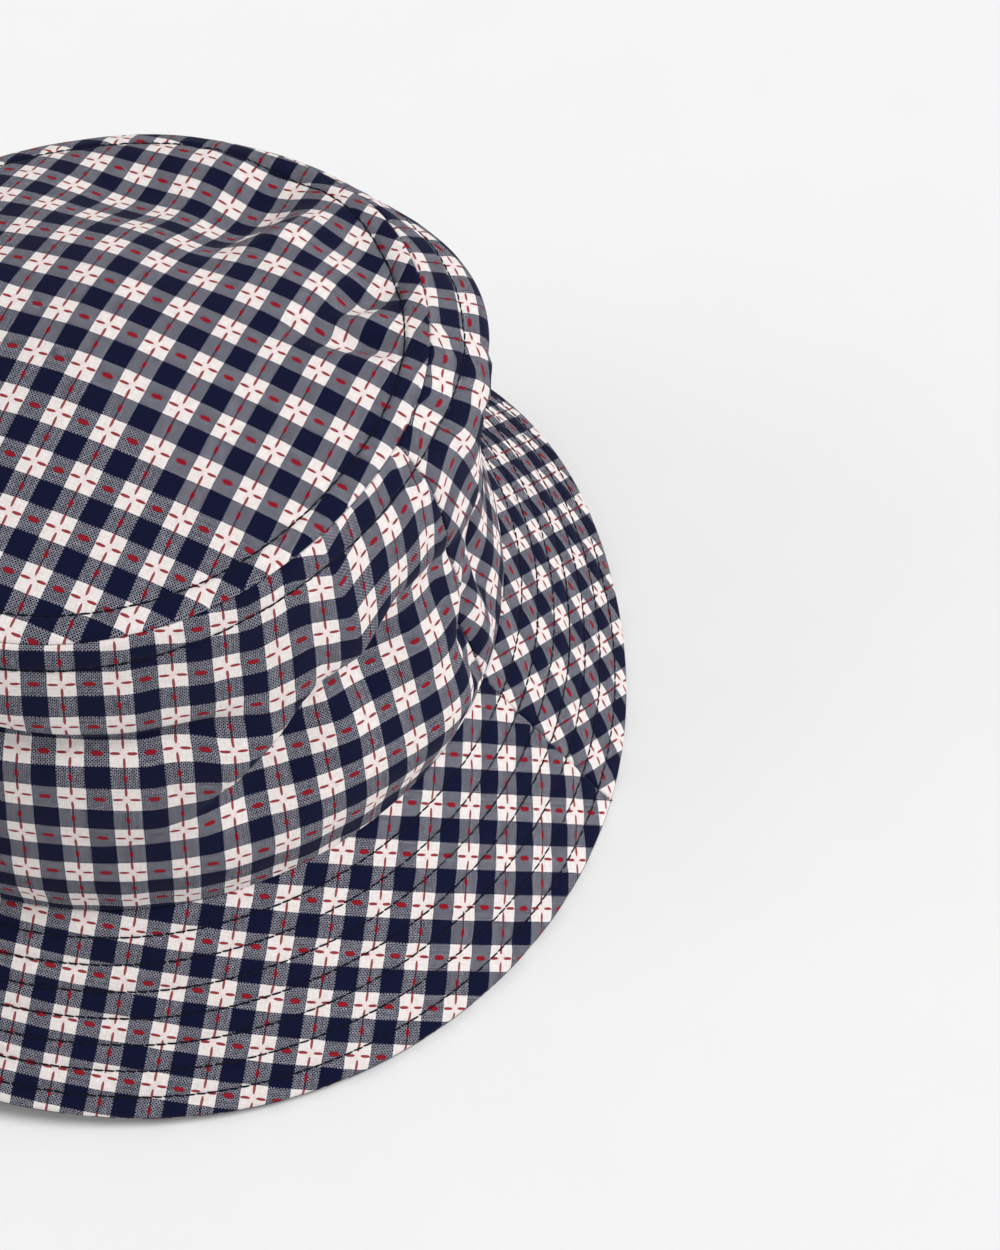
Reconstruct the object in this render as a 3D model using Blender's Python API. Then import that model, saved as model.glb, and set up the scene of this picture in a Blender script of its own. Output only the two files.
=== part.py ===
"""Cotton bucket hat, modelled piece by piece as it is cut and sewn.

Metres, +Z up.  The hat rests on its brim edge at z = 0, its front faces -Y and the
two side seams are at +X and -X.  Every layer of cloth is its own closed solid, and
neighbouring layers keep a small air gap.
"""

import math

import bmesh
import bpy

MM = 0.001

# Outer surface of the hat: half widths (side to side) and half depths (front to back)
EDGE_HALF = (127.5 * MM, 131.0 * MM)
JOIN_HALF = (92.0 * MM, 95.0 * MM)
SEAM_HALF = (74.5 * MM, 80.5 * MM)
JOIN_Z = 42.5 * MM
SEAM_Z = 125.0 * MM
BAND_BULGE = 3.0 * MM
BULGE_SHARE = 1.0 / 3.0
TIP_DOME = 14.0 * MM

# Cloth and the air gap between two sewn layers
GAP = 0.3 * MM
CLOTH = 0.6 * MM
INTERFACING = 0.4 * MM
INTERLINING = 0.8 * MM
LINING_CLOTH = 0.5 * MM
SWEATBAND_CLOTH = 0.8 * MM
LABEL_CLOTH = 0.4 * MM
HEM_CLOTH = 1.6 * MM
HEM_HEIGHT = 5.0 * MM

# Sewing
THREAD = 0.55 * MM
THREAD_SIDES = 3
BRIM_ROWS = 7
BRIM_ROW_PITCH = 7.0 * MM
FIRST_BRIM_ROW = 6.0 * MM
TIP_ROW_INSET = 6.2 * MM
BAND_ROW_DROP = 6.5 * MM
SWEATBAND_ROW_RISE = 4.0 * MM

# Sweatband and labels
SWEATBAND_HEIGHT = 27.0 * MM
SIZE_LABEL_HALF_ANGLE = math.radians(8.0)
SIZE_LABEL_LOW = 10.0 * MM
SIZE_LABEL_HIGH = 24.0 * MM
CARE_LABEL_WIDTH = 20.0 * MM
CARE_LABEL_LENGTH = 26.0 * MM
CARE_LABEL_THICKNESS = 0.6 * MM
CARE_LABEL_STANDOFF = 1.6 * MM

SEGMENTS = 60
TIP_RING_SHARES = (1.0, 0.8, 0.5)
BRIM_SLANT = math.hypot(EDGE_HALF[0] - JOIN_HALF[0], JOIN_Z)
BRIM_SPREAD = BRIM_SLANT / JOIN_Z

FRONT = (math.pi, 2.0 * math.pi)
BACK = (0.0, math.pi)


# ---------------------------------------------------------------- the hat's surface

def mix(low, high, share):
    """Straight blend from low to high."""
    return low + (high - low) * share


def half_axes(z):
    """Half width and half depth of the hat's outer surface at height z."""
    if z <= JOIN_Z:
        share = z / JOIN_Z
        return tuple(mix(e, j, share) for e, j in zip(EDGE_HALF, JOIN_HALF))
    share = (z - JOIN_Z) / (SEAM_Z - JOIN_Z)
    bulge = BAND_BULGE * min(1.0, share / BULGE_SHARE, (1.0 - share) / BULGE_SHARE)
    return tuple(mix(j, s, share) + bulge for j, s in zip(JOIN_HALF, SEAM_HALF))


def oval_point(half, angle, inset, z):
    """Point of an oval at the given angle, moved inward by inset along its normal."""
    a, b = half
    normal_x = b * math.cos(angle)
    normal_y = a * math.sin(angle)
    length = math.hypot(normal_x, normal_y)
    x = a * math.cos(angle) - inset * normal_x / length
    y = b * math.sin(angle) - inset * normal_y / length
    return (x, y, z)


def panel_angles(span):
    """Angles across half of the hat, stopping half a gap short of each side seam."""
    start, end = span
    trim = 0.5 * GAP / JOIN_HALF[1]
    count = SEGMENTS // 2
    step = (end - start) / count
    angles = [start + step * i for i in range(count + 1)]
    angles[0] += trim
    angles[-1] -= trim
    return angles


def full_angles():
    """Angles all round the hat, without repeating the first."""
    return [2.0 * math.pi * i / SEGMENTS for i in range(SEGMENTS)]


def band_levels(low, high):
    """Heights of a band layer: its ends and the two lines where the band's slope changes."""
    return [low, mix(JOIN_Z, SEAM_Z, BULGE_SHARE), mix(JOIN_Z, SEAM_Z, 1.0 - BULGE_SHARE), high]


# ---------------------------------------------------------------- mesh building

def cloth_material(name, colour, roughness):
    """Plain Principled material of one colour."""
    material = bpy.data.materials.new(name)
    material.use_nodes = True
    shader = material.node_tree.nodes["Principled BSDF"]
    shader.inputs["Base Color"].default_value = (*colour, 1.0)
    shader.inputs["Roughness"].default_value = roughness
    shader.inputs["Metallic"].default_value = 0.0
    material.diffuse_color = (*colour, 1.0)
    return material


def add_object(name, mesh_data, material, smooth_angle=40.0):
    """Put a finished bmesh into the scene as a named object, faces pointing out."""
    bmesh.ops.recalc_face_normals(mesh_data, faces=mesh_data.faces)
    mesh = bpy.data.meshes.new(name)
    mesh_data.to_mesh(mesh)
    mesh_data.free()
    mesh.materials.append(material)
    mesh.shade_smooth()
    mesh.set_sharp_from_angle(angle=math.radians(smooth_angle))
    built = bpy.data.objects.new(name, mesh)
    bpy.context.collection.objects.link(built)
    return built


def sheet_solid(name, angles, rings, closed, material):
    """Solid sheet from rings of (z, outer inset, inner inset), bottom to top.

    An open sheet has two end walls at its side seams; a closed one runs all round.
    """
    mesh_data = bmesh.new()
    columns = []
    for angle in angles:
        outer = [mesh_data.verts.new(oval_point(half_axes(z), angle, o, z)) for z, o, i in rings]
        inner = [mesh_data.verts.new(oval_point(half_axes(z), angle, i, z)) for z, o, i in rings]
        columns.append(outer + inner[::-1])
    count = len(columns)
    around = len(columns[0])
    for c in range(count if closed else count - 1):
        here = columns[c]
        there = columns[(c + 1) % count]
        for k in range(around):
            n = (k + 1) % around
            mesh_data.faces.new((here[k], there[k], there[n], here[n]))
    if not closed:
        top = len(rings) - 1
        for column in (columns[0], columns[-1]):
            for k in range(top):
                mesh_data.faces.new((column[k], column[k + 1],
                                     column[around - 2 - k], column[around - 1 - k]))
    return add_object(name, mesh_data, material)


def even_rings(heights, outer, inner):
    """Rings of one constant thickness."""
    return [(z, outer, inner) for z in heights]


def dome_height(share):
    """Rise of the tip above its seam at a share of the way out from the middle."""
    return TIP_DOME * (1.0 - share * share)


def tip_solid(name, rim_inset, top_z, thickness, material):
    """Domed oval plate with its rim inset from the seam oval."""
    shares = TIP_RING_SHARES
    mesh_data = bmesh.new()
    rim = tuple(h - rim_inset for h in SEAM_HALF)

    def ring(share, base):
        half = tuple(h * share for h in rim)
        z = base + dome_height(share)
        return [mesh_data.verts.new(oval_point(half, a, 0.0, z)) for a in full_angles()]

    def centre(base):
        return mesh_data.verts.new((0.0, 0.0, base + dome_height(0.0)))

    top = [ring(share, top_z) for share in shares]
    bottom = [ring(share, top_z - thickness) for share in shares]
    pairs = list(zip(top, top[1:])) + list(zip(bottom, bottom[1:])) + [(top[0], bottom[0])]
    for first, second in pairs:
        for i in range(SEGMENTS):
            n = (i + 1) % SEGMENTS
            mesh_data.faces.new((first[i], first[n], second[n], second[i]))
    for last, middle in ((top[-1], centre(top_z)), (bottom[-1], centre(top_z - thickness))):
        for i in range(SEGMENTS):
            mesh_data.faces.new((last[i], last[(i + 1) % SEGMENTS], middle))
    return add_object(name, mesh_data, material)


def thread_ring(name, half, z, inset, material):
    """One sewn row as a thin closed ring of thread that follows the oval."""
    mesh_data = bmesh.new()
    radius = 0.5 * THREAD
    loops = []
    for angle in full_angles():
        loop = []
        for s in range(THREAD_SIDES):
            turn = 2.0 * math.pi * s / THREAD_SIDES
            point = oval_point(half, angle, inset + radius * math.cos(turn),
                               z + radius * math.sin(turn))
            loop.append(mesh_data.verts.new(point))
        loops.append(loop)
    for i in range(SEGMENTS):
        here = loops[i]
        there = loops[(i + 1) % SEGMENTS]
        for s in range(THREAD_SIDES):
            n = (s + 1) % THREAD_SIDES
            mesh_data.faces.new((here[s], there[s], there[n], here[n]))
    return add_object(name, mesh_data, material)


# ---------------------------------------------------------------- the layers

def make_materials():
    """One material for each kind of cloth and thread."""
    return {
        "check": cloth_material("check_cotton", (0.27, 0.28, 0.36), 0.85),
        "under": cloth_material("under_brim_cotton", (0.27, 0.28, 0.36), 0.85),
        "interfacing": cloth_material("fusible_interfacing", (0.86, 0.86, 0.84), 0.9),
        "interlining": cloth_material("brim_interlining", (0.80, 0.78, 0.72), 0.9),
        "lining": cloth_material("navy_lining", (0.03, 0.035, 0.10), 0.8),
        "sweatband": cloth_material("navy_twill_sweatband", (0.025, 0.03, 0.085), 0.7),
        "label": cloth_material("satin_label", (0.88, 0.87, 0.84), 0.5),
        "thread": cloth_material("navy_thread", (0.01, 0.012, 0.03), 0.6),
    }


def crown_stack():
    """Outer and inner inset of each crown layer, outside in."""
    stack = {}
    depth = 0.0
    for layer, thickness in (("shell", CLOTH), ("interfacing", INTERFACING),
                             ("lining", LINING_CLOTH), ("sweatband", SWEATBAND_CLOTH),
                             ("label", LABEL_CLOTH)):
        stack[layer] = (depth, depth + thickness)
        depth += thickness + GAP
    return stack


def build_crown(materials):
    """Tip and band panels: shell, interfacing and lining, each tip closing its own band."""
    stack = crown_stack()
    names = {
        "shell": ("crown_tip", "crown_band", "check"),
        "interfacing": ("crown_tip_interfacing", "crown_band_interfacing", "interfacing"),
        "lining": ("lining_tip", "lining_band", "lining"),
    }
    plate_top = SEAM_Z + CLOTH + 0.5 * GAP
    for layer, (tip_name, band_name, kind) in names.items():
        outer, inner = stack[layer]
        thickness = inner - outer
        tip_solid(tip_name, outer, plate_top, thickness, materials[kind])
        band_top = plate_top - thickness - GAP
        rings = even_rings(band_levels(JOIN_Z + 0.5 * GAP, band_top), outer, inner)
        for side, span in (("front", FRONT), ("back", BACK)):
            sheet_solid(f"{band_name}_{side}", panel_angles(span), rings, False, materials[kind])
        plate_top = band_top


def build_brim(materials):
    """Upper panel, interlining and under panel of the brim, in front and back halves."""
    top = JOIN_Z - 0.5 * GAP
    upper_inner = CLOTH * BRIM_SPREAD
    core_outer = upper_inner + GAP * BRIM_SPREAD
    core_inner = core_outer + INTERLINING * BRIM_SPREAD
    under_outer = core_inner + GAP * BRIM_SPREAD
    under_inner = under_outer + CLOTH * BRIM_SPREAD
    hem_outer = core_outer
    hem_inner = hem_outer + HEM_CLOTH * BRIM_SPREAD
    for side, span in (("front", FRONT), ("back", BACK)):
        angles = panel_angles(span)
        sheet_solid(f"brim_upper_{side}", angles,
                    even_rings((0.0, top), 0.0, upper_inner), False, materials["check"])
        core = even_rings((HEM_HEIGHT + 2.0 * GAP, top), core_outer, core_inner)
        sheet_solid(f"brim_interlining_{side}", angles, core, False, materials["interlining"])
        under = [(0.0, hem_outer, hem_inner), (HEM_HEIGHT - GAP, hem_outer, under_inner),
                 (HEM_HEIGHT, under_outer, under_inner), (top, under_outer, under_inner)]
        sheet_solid(f"brim_under_{side}", angles, under, False, materials["under"])


def build_sweatband(materials):
    """Sweatband all round the head opening, with the size label sewn flat at the back."""
    outer, inner = crown_stack()["sweatband"]
    low = JOIN_Z + 0.5 * GAP
    rings = even_rings((low, low + SWEATBAND_HEIGHT), outer, inner)
    sheet_solid("sweatband", full_angles(), rings, True, materials["sweatband"])
    outer, inner = crown_stack()["label"]
    back = 0.5 * math.pi
    angles = [back - SIZE_LABEL_HALF_ANGLE, back - 0.5 * SIZE_LABEL_HALF_ANGLE, back,
              back + 0.5 * SIZE_LABEL_HALF_ANGLE, back + SIZE_LABEL_HALF_ANGLE]
    label = even_rings((JOIN_Z + SIZE_LABEL_LOW, JOIN_Z + SIZE_LABEL_HIGH), outer, inner)
    sheet_solid("size_label", angles, label, False, materials["label"])


def care_label_hinge():
    """Middle of the sewn top edge of the care label, at the -X side seam."""
    z = JOIN_Z + 0.5 * GAP + SWEATBAND_HEIGHT
    inner = crown_stack()["sweatband"][1]
    return (-(half_axes(z)[0] - inner - CARE_LABEL_STANDOFF), 0.0, z)


def build_care_label(materials):
    """Folded satin label that hangs from its top edge; its origin is on its hinge."""
    bm = bmesh.new()
    bmesh.ops.create_cube(bm, size=1.0)
    bmesh.ops.scale(bm, vec=(CARE_LABEL_THICKNESS, CARE_LABEL_WIDTH, CARE_LABEL_LENGTH),
                    verts=bm.verts)
    bmesh.ops.translate(bm, vec=(0.0, 0.0, -0.5 * CARE_LABEL_LENGTH), verts=bm.verts)
    label = add_object("care_label", bm, materials["label"])
    label.location = care_label_hinge()
    return label


def build_threads(materials):
    """Topstitch rows: tip, band, seven rounds on the brim and one on the sweatband."""
    thread = materials["thread"]
    lift = GAP + 0.5 * THREAD
    share = 1.0 - TIP_ROW_INSET / SEAM_HALF[0]
    tip_half = tuple(h - TIP_ROW_INSET for h in SEAM_HALF)
    tip_z = SEAM_Z + CLOTH + 0.5 * GAP + dome_height(share) + lift + GAP
    thread_ring("thread_tip_row", tip_half, tip_z, 0.0, thread)
    band_z = SEAM_Z - BAND_ROW_DROP
    thread_ring("thread_band_row", half_axes(band_z), band_z, -lift, thread)
    for row in range(BRIM_ROWS):
        z = (FIRST_BRIM_ROW + row * BRIM_ROW_PITCH) / BRIM_SPREAD
        thread_ring(f"thread_brim_row_{row + 1}", half_axes(z), z, -lift * BRIM_SPREAD, thread)
    row_z = JOIN_Z + SWEATBAND_ROW_RISE
    inset = crown_stack()["sweatband"][1] + lift
    thread_ring("thread_sweatband_row", half_axes(row_z), row_z, inset, thread)


def main():
    for old in list(bpy.data.objects):
        bpy.data.objects.remove(old, do_unlink=True)
    materials = make_materials()
    build_crown(materials)
    build_brim(materials)
    build_sweatband(materials)
    build_care_label(materials)
    build_threads(materials)


main()
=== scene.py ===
"""Looks of the cotton bucket hat: checked cloth, folds, seams, stitching, lining and labels.

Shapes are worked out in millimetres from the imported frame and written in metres.  The front
of the hat faces -Y.  An angle runs round the hat from +X; -90 degrees is the front.
"""

import math

import bpy
import numpy as np
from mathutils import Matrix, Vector


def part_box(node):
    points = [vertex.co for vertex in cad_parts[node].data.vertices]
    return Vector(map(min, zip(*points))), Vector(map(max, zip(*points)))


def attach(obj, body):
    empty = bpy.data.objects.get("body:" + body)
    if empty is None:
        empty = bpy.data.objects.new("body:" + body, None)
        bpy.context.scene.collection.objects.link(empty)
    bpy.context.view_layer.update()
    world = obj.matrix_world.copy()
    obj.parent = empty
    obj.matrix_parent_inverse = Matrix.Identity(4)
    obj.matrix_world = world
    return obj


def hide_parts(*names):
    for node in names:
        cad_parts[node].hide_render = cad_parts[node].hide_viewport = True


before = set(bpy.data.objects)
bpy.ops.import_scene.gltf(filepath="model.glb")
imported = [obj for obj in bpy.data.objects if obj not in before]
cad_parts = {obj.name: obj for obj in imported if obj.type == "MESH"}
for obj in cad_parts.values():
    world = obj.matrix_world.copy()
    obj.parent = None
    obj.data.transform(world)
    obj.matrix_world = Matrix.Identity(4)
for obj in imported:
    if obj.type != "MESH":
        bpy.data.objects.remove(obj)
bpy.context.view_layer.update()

MM = 0.001


def frame_box(node):
    """Lowest and highest corner of a CAD node in millimetres."""
    low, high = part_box(node)
    return np.array(low) / MM, np.array(high) / MM


# ---- sizes from the frame ----

BRIM_BOX = frame_box("brim_upper_front")
BAND_BOX = frame_box("crown_band_front")
TIP_BOX = frame_box("crown_tip")
SWEATBAND_BOX = frame_box("sweatband")
EDGE_HALF = (BRIM_BOX[1][0], -BRIM_BOX[0][1])
JOIN_HALF = (BAND_BOX[1][0], -BAND_BOX[0][1])
SEAM_HALF = (TIP_BOX[1][0], TIP_BOX[1][1])
JOIN_Z = (BRIM_BOX[1][2] + BAND_BOX[0][2]) / 2.0
SEAM_Z = BAND_BOX[1][2]
BRIM_SLANT = math.hypot(EDGE_HALF[0] - JOIN_HALF[0], JOIN_Z)
BAND_SLANT = math.hypot(SEAM_Z - JOIN_Z, JOIN_HALF[0] - SEAM_HALF[0])

# Layers, measured inward from the outer face of the cloth
CLOTH = 0.6
INTERFACING_DEPTH = (0.9, 1.2)
LINING_DEPTH = (1.6, 2.1)
SWEATBAND_DEPTH = (2.5, 3.2)
SIZE_LABEL_DEPTH = (3.5, 3.8)
INTERLINING_DEPTH = (0.9, 1.6)
UNDER_DEPTH = (1.9, 2.5)

# Sewing
BRIM_ROWS = 7
BRIM_ROW_PITCH = 7.0
FIRST_BRIM_ROW = 6.0
TIP_ROW_INSET = 6.2
BAND_ROW_DROP = 6.5
SWEATBAND_ROW_RISE = 4.0
STITCH = 2.6
STITCH_GAP = 0.2
THREAD_RADIUS = 0.24
ROLL = 1.1

# Edges that turn more than this many degrees are drawn sharp
CLOTH_SHARP = 50.0
THREAD_SHARP = 60.0

# Check of the cloth; the two repeats were fitted together with the hat's shape
REPEAT_ACROSS = 11.7
REPEAT_ALONG = 12.3
THREADS_PER_REPEAT = 30.0

FRONT = (-math.pi, 0.0)
BACK = (0.0, math.pi)


# ---- small helpers ----

def mix(low, high, share):
    return low + (high - low) * share


def smooth(low, high, value):
    """0 below low, 1 above high, with a soft step between them."""
    share = np.clip((value - low) / (high - low), 0.0, 1.0)
    return share * share * (3.0 - 2.0 * share)


def hill(distance, width):
    return np.exp(-((distance / width) ** 2))


def turn_between(angle, centre):
    """Signed angle from centre to angle in degrees, from -180 to 180; angle is in radians."""
    return (np.degrees(angle) - centre + 180.0) % 360.0 - 180.0


def rotated(x, y, degrees):
    """The pair x, y turned anticlockwise."""
    c, s = math.cos(math.radians(degrees)), math.sin(math.radians(degrees))
    return x * c - y * s, x * s + y * c


def wander(angle, seed, waves=(3, 5, 8, 13)):
    """Smooth closed noise round the hat, about -1 to 1."""
    rng = np.random.default_rng(seed)
    total = np.zeros_like(angle)
    for count in waves:
        phase = rng.uniform(0.0, 2.0 * math.pi)
        total = total + np.sin(count * angle + phase) * rng.uniform(0.6, 1.0)
    return total / len(waves)


# ---- the brim ----

# Slow waves of the brim edge: centre angle, half width in degrees, outward, upward (mm)
BRIM_WAVES = (
    (-90.0, 26.0, -0.5, 6.5),
    (-36.0, 30.0, 2.4, 1.5),
    (28.0, 26.0, -3.0, 1.0),
    (56.0, 22.0, 0.5, 4.5),
    (118.0, 34.0, -1.0, 5.0),
    (178.0, 30.0, 1.5, 1.0),
    (-142.0, 26.0, 1.0, 1.5),
)

# Lift of the whole edge off the table
BRIM_EDGE_RISE = 1.3


def brim_row_distances():
    return [FIRST_BRIM_ROW + row * BRIM_ROW_PITCH for row in range(BRIM_ROWS)]


def brim_surface(angle, share):
    """Outer face of the brim: share is 0 at the join and 1 at the edge."""
    half_x = mix(JOIN_HALF[0], EDGE_HALF[0], share)
    half_y = mix(JOIN_HALF[1], EDGE_HALF[1], share)
    reach = share ** 1.5
    out = np.zeros_like(angle)
    lift = np.zeros_like(angle)
    for centre, width, outward, upward in BRIM_WAVES:
        bump = hill(turn_between(angle, centre), width)
        out = out + outward * bump
        lift = lift + upward * bump
    lift = lift + BRIM_EDGE_RISE
    sag = 0.6 * wander(angle, 11) * np.sin(math.pi * share)
    x = (half_x + out * reach) * np.cos(angle)
    y = (half_y + out * reach) * np.sin(angle)
    z = JOIN_Z * (1.0 - share) + lift * reach + sag
    return np.stack([x, y, z], axis=-1)


def brim_puff(angle, share):
    """Quilting: the rows of stitches pull the brim in and the cloth puffs between them."""
    from_edge = (1.0 - share) * BRIM_SLANT
    puff = np.zeros_like(angle)
    for row, place in enumerate(brim_row_distances()):
        groove = hill(from_edge - place, 1.5)
        pucker = wander(angle, 40 + row, (37, 53, 71, 97))
        side = hill(from_edge - place, 3.2) - groove
        puff = puff - 0.42 * groove + 0.30 * pucker * side
    return puff + 0.15 * wander(angle, 60, (23, 31, 47)) * np.sin(math.pi * share)


# ---- the crown ----

# That holds for SEAM_LIFT, TIP_RISE, TIP_DOME, TIP_TAKEN_UP, the phases and spins of the front
# and the tip, the profile up to 50, the first five swells, the first four folds and most rises
# of the dents. The rest was set one by one.
TIP_RISE = 10.8
SEAM_LIFT = 5.1
TIP_DOME = 1.9

# Profile of the band: height above the join, distance out from the straight line (mm)
BAND_PROFILE = (
    (0.0, 0.0),
    (12.0, 1.0),
    (25.0, 0.3),
    (38.0, 1.9),
    (50.0, 2.2),
    (62.0, 0.7),
    (74.0, 0.3),
    (84.3, -0.8),
)

# Fuller places of the band: centre angle, half width, lowest and highest height, distance out
BAND_SWELLS = (
    (-90.0, 25.0, 5.0, 40.0, 3.5),
    (-45.0, 25.0, 5.0, 40.0, 3.9),
    (0.0, 25.0, 5.0, 40.0, -0.6),
    (-90.0, 25.0, 45.0, 85.0, 0.7),
    (-45.0, 25.0, 45.0, 85.0, -0.7),
    (40.0, 32.0, 54.0, 90.0, 12.0),
    (150.0, 40.0, 50.0, 84.0, 5.0),
    (-14.0, 15.0, 4.0, 30.0, 4.0),
)

# Folds of the band: points (angle in degrees, height above the join, depth) of the valley line,
# width below and above it, and shares of the depth that the cloth above hangs down and bulges out
BAND_FOLDS = (
    (((-128, 52, 1.6), (-108, 58, 3.2), (-88, 60, 4), (-68, 57, 3.4), (-52, 56, 3.4), (-40, 55, 1)),
     5.7, 3.4, 0.42, 0.38),
    (((-56, 32, 1), (-48, 35, 6), (-40, 42, 8), (-32, 50, 6), (-24, 49, 9), (-14, 53, 4),
      (-4, 51, 3), (8, 47, 1)), 13.3, 4.3, 0.22, 0.31),
    (((-2, 8, 4), (-1, 26, 6), (9, 44, 1)), 5.0, 5.0, 0.0, 0.35),
    (((10, 12, 2), (12, 34, 6), (20, 56, 5)), 5.0, 5.0, 0.0, 0.35),
    (((24, 66, 1), (44, 56, 6), (66, 52, 5), (86, 56, 5), (104, 64, 1)), 8.0, 3.6, 0.5, 0.35),
    (((112, 30, 1), (128, 42, 6), (146, 48, 6), (164, 46, 5), (178, 38, 1)), 8.0, 3.6, 0.4, 0.35),
    (((-178, 60, 1), (-164, 52, 4), (-150, 40, 4), (-140, 28, 1)), 7.0, 4.0, 0.4, 0.35),
)


def along_path(angle, height, points):
    """Distance above a fold's valley line, and the fold's depth there, for points of the band."""
    radius = 0.5 * (JOIN_HALF[0] + SEAM_HALF[0])
    x = np.radians(turn_between(angle, points[0][0])) * radius
    best = np.full(np.shape(x), 1e9)
    signed = np.zeros_like(x)
    depth = np.zeros_like(x)
    flat = [(math.radians(a - points[0][0]) * radius, h, d) for a, h, d in points]
    for (x0, y0, first), (x1, y1, second) in zip(flat, flat[1:]):
        run = math.hypot(x1 - x0, y1 - y0)
        ux, uy = (x1 - x0) / run, (y1 - y0) / run
        t = np.clip((x - x0) * ux + (height - y0) * uy, 0.0, run)
        dx, dy = x - x0 - t * ux, height - y0 - t * uy
        distance = np.hypot(dx, dy)
        side = np.where(ux * dy - uy * dx >= 0.0, 1.0, -1.0)
        closer = distance < best
        best = np.where(closer, distance, best)
        signed = np.where(closer, distance * side, signed)
        depth = np.where(closer, mix(first, second, t / run), depth)
    return signed, depth


def band_folds(angle, height):
    """Push inward and hang downward of the band's folds."""
    push = np.zeros_like(angle)
    hang = np.zeros_like(angle)
    for points, below, above, tuck, bulge in BAND_FOLDS:
        signed, depth = along_path(angle, height, points)
        width = np.where(signed > 0.0, above, below)
        push = push - depth * hill(signed, width)
        push = push + bulge * depth * hill(signed - 2.4 * above, 2.2 * above)
        hang = hang - tuck * depth * hill(signed - 1.3 * above, 1.5 * above)
    inside = smooth(0.0, 10.0, height) * smooth(0.0, 10.0, BAND_SLANT - height)
    return push * inside, hang * inside


def seam_lift(angle):
    """How far the tip seam stands above its drawn height."""
    front = -1.6 * hill(turn_between(angle, -88.0), 40.0)
    dip = -2.5 * hill(turn_between(angle, -4.0), 16.0)
    back = -8.0 * hill(turn_between(angle, 100.0), 70.0)
    return SEAM_LIFT + front + dip + back + 0.8 * wander(angle, 5)


def seam_draw(angle):
    """How far the tip seam is drawn in from the fullness of the band below it."""
    right = 6.0 * hill(turn_between(angle, 38.0), 28.0)
    front_right = 2.5 * hill(turn_between(angle, -10.0), 20.0)
    left = 3.0 * hill(turn_between(angle, 150.0), 40.0)
    return right + front_right + left


def knotted(height, knots):
    """Smooth curve through a few (height, value) knots."""
    total = np.full(np.shape(height), float(knots[0][1]))
    for (low, first), (high, second) in zip(knots, knots[1:]):
        total = total + (second - first) * smooth(low, high, height)
    return total


def band_swell(angle, height):
    """How far the band stands out from its straight drawn line, without its creases."""
    swell = knotted(height, BAND_PROFILE)
    for centre, width, low, high, amount in BAND_SWELLS:
        middle, half = 0.5 * (low + high), 0.5 * (high - low)
        swell = swell + amount * hill(turn_between(angle, centre), width) * hill(height - middle, half)
    return swell


def band_surface(angle, share):
    """Outer face of the crown band: share is 0 at the join and 1 at the tip seam."""
    height = share * BAND_SLANT
    push, hang = band_folds(angle, height)
    swell = band_swell(angle, height) + push
    swell = swell + 0.7 * wander(angle, 21) * np.sin(math.pi * share)
    swell = swell - seam_draw(angle) * smooth(0.84, 1.0, share)
    half_x = mix(JOIN_HALF[0], SEAM_HALF[0], share) + swell
    half_y = mix(JOIN_HALF[1], SEAM_HALF[1], share) + swell
    z = mix(JOIN_Z, SEAM_Z, share) + hang + seam_lift(angle) * smooth(0.55, 1.0, share)
    return np.stack([half_x * np.cos(angle), half_y * np.sin(angle), z], axis=-1)


# Dents of the tip: centre x, y, half sizes, turn in degrees, rise (mm)
TIP_DENTS = (
    (0.0, 0.0, 30.0, 30.0, 0.0, 3.9),
    (-36.0, -8.0, 18.0, 10.0, 60.0, 6.0),
    (25.0, 10.0, 22.0, 22.0, 0.0, -1.1),
    (-30.0, -46.0, 18.0, 6.0, 28.0, -1.3),
    (-10.0, 50.0, 22.0, 16.0, 0.0, -8.2),
    (16.0, 61.0, 30.0, 11.0, 84.0, -10.0),
    (27.0, 47.0, 16.0, 6.0, 55.0, 3.8),
    (50.0, 50.0, 20.0, 12.0, -45.0, -7.6),
    (52.0, 38.0, 14.0, 4.0, 62.0, -5.5),
    (56.0, 22.0, 14.0, 4.0, 20.0, -5.5),
)

# Cloth of the tip taken up by its ripples towards the right and the back (mm)
TIP_TAKEN_UP = (3.6, 3.2)


def tip_surface(angle, share):
    """Outer face of the tip: share is 0 in the middle and 1 at the seam."""
    rim = band_surface(angle, np.ones_like(angle))
    x = rim[..., 0] * share
    y = rim[..., 1] * share
    z = SEAM_Z + seam_lift(angle) * share ** 4 + SEAM_LIFT * (1.0 - share ** 4)
    z = z + TIP_RISE * (1.0 - share ** TIP_DOME)
    for centre_x, centre_y, long_half, short_half, turn, rise in TIP_DENTS:
        u, v = rotated(x - centre_x, y - centre_y, -turn)
        dent = np.exp(-((u / long_half) ** 2 + (v / short_half) ** 2))
        z = z + rise * dent * (1.0 - share ** 6)
    return np.stack([x, y, z], axis=-1)


def crown_puff(from_seam, angle, seed, row):
    """Raised strip between the tip seam and its topstitching, with small puckers along it."""
    strip = 0.45 * smooth(0.4, 1.8, from_seam) * (1.0 - smooth(row - 0.9, row + 0.1, from_seam))
    groove = -0.30 * hill(from_seam - row, 0.9)
    pucker = 0.22 * wander(angle, seed, (31, 43, 59, 83)) * hill(from_seam - row, 4.0)
    return strip + groove + pucker


# ---- fabric coordinates ----

def girth_from(centre):
    """Function giving the length round the join oval from an angle, growing with the angle."""
    turns = np.linspace(-2.0 * math.pi, 2.0 * math.pi, 2881)
    x, y = JOIN_HALF[0] * np.cos(turns), JOIN_HALF[1] * np.sin(turns)
    steps = np.hypot(np.diff(x), np.diff(y))
    lengths = np.concatenate([[0.0], np.cumsum(steps)])
    lengths = lengths - np.interp(centre, turns, lengths)
    return lambda angle: np.interp(angle, turns, lengths)


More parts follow.
